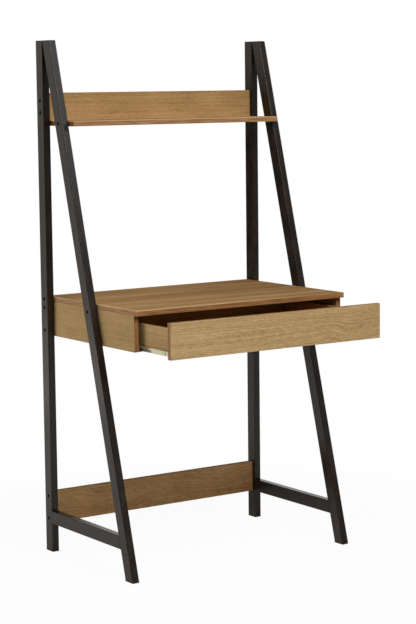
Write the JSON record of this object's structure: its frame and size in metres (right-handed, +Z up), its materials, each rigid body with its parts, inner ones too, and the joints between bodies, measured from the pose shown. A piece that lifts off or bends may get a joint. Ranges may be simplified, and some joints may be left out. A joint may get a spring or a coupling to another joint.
{
  "type": "ladder desk",
  "caption": "Ladder desk: leaning tube frames carry a shelf, a back board and an oak-finish desk box whose drawer slides on roller runners.",
  "frame": {"origin": "on the floor, under the middle of the box round the whole desk with its drawer as in the picture", "axes": "+X to the right as one sits at the desk, +Y to the back, +Z up; the drawer opens towards -Y"},
  "size_m": [0.761, 0.6586, 1.5],
  "materials": {
    "black_frame": "satin black powder coat",
    "black_cap": "moulded matt black",
    "oak_board": "oak-grain melamine with a matching edge band",
    "thin_panel": "thin oak-grain fibreboard",
    "cream_runner": "cream epoxy coat",
    "grey_roller": "moulded nylon",
    "zinc_steel": "zinc plate",
    "black_steel": "black zinc plate",
    "beech_dowel": "fluted beech"
  },
  "bodies": {
    "frame": {"cabinet_runner_screws": "black_steel", "desk_back_bolts": "black_steel", "desk_back_panel": "oak_board", "desk_cam_bolts": "zinc_steel", "desk_cams": "zinc_steel", "desk_dowels": "beech_dowel", "desk_left_side": "oak_board", "desk_right_side": "oak_board", "desk_top": "oak_board", "frame_bolts": "black_steel", "left_cabinet_runner": "cream_runner", "left_front_foot": "black_cap", "left_front_leg": "black_frame", "left_front_roller_pin": "zinc_steel", "left_rear_foot": "black_cap", "left_rear_upright": "black_frame", "left_side_rail": "black_frame", "left_top_plate": "black_frame", "lower_back_board": "oak_board", "right_cabinet_runner": "cream_runner", "right_front_foot": "black_cap", "right_front_leg": "black_frame", "right_front_roller_pin": "zinc_steel", "right_rear_foot": "black_cap", "right_rear_upright": "black_frame", "right_side_rail": "black_frame", "right_top_plate": "black_frame", "shelf_back_board": "oak_board", "shelf_board": "oak_board", "shelf_screws": "zinc_steel", "threaded_inserts": "zinc_steel"},
    "drawer": {"drawer_front": "oak_board", "drawer_left_side": "oak_board", "drawer_right_side": "oak_board", "drawer_back": "oak_board", "drawer_bottom": "thin_panel", "left_drawer_runner": "cream_runner", "right_drawer_runner": "cream_runner", "left_rear_roller_pin": "zinc_steel", "right_rear_roller_pin": "zinc_steel", "drawer_cams": "zinc_steel", "drawer_cam_bolts": "zinc_steel", "drawer_back_screws": "zinc_steel", "drawer_bottom_screws": "zinc_steel", "drawer_runner_screws": "black_steel"},
    "left_front_roller": {"left_front_roller": "grey_roller"},
    "left_rear_roller": {"left_rear_roller": "grey_roller"},
    "right_front_roller": {"right_front_roller": "grey_roller"},
    "right_rear_roller": {"right_rear_roller": "grey_roller"}
  },
  "joints": [
    {"name": "drawer_slide", "type": "slide", "parent": "frame", "child": "drawer", "axis": [0, -1, 0], "range_m": [-0.166, 0.134]},
    {"name": "left_front_roll", "type": "hinge", "parent": "frame", "child": "left_front_roller", "pos_m": [-0.3356, -0.14025, 0.6523], "axis": [1, 0, 0], "continuous": true},
    {"name": "left_rear_roll", "type": "hinge", "parent": "drawer", "child": "left_rear_roller", "pos_m": [-0.3356, 0.07995, 0.6521], "axis": [1, 0, 0], "continuous": true},
    {"name": "right_front_roll", "type": "hinge", "parent": "frame", "child": "right_front_roller", "pos_m": [0.3356, -0.14025, 0.6523], "axis": [1, 0, 0], "continuous": true},
    {"name": "right_rear_roll", "type": "hinge", "parent": "drawer", "child": "right_rear_roller", "pos_m": [0.3356, 0.07995, 0.6521], "axis": [1, 0, 0], "continuous": true}
  ],
  "couplings": [
    {"joint": "left_front_roll", "follows": "drawer_slide", "rad_per_m": 161.29},
    {"joint": "left_rear_roll", "follows": "drawer_slide", "rad_per_m": 161.29},
    {"joint": "right_front_roll", "follows": "drawer_slide", "rad_per_m": 161.29},
    {"joint": "right_rear_roll", "follows": "drawer_slide", "rad_per_m": 161.29}
  ]
}
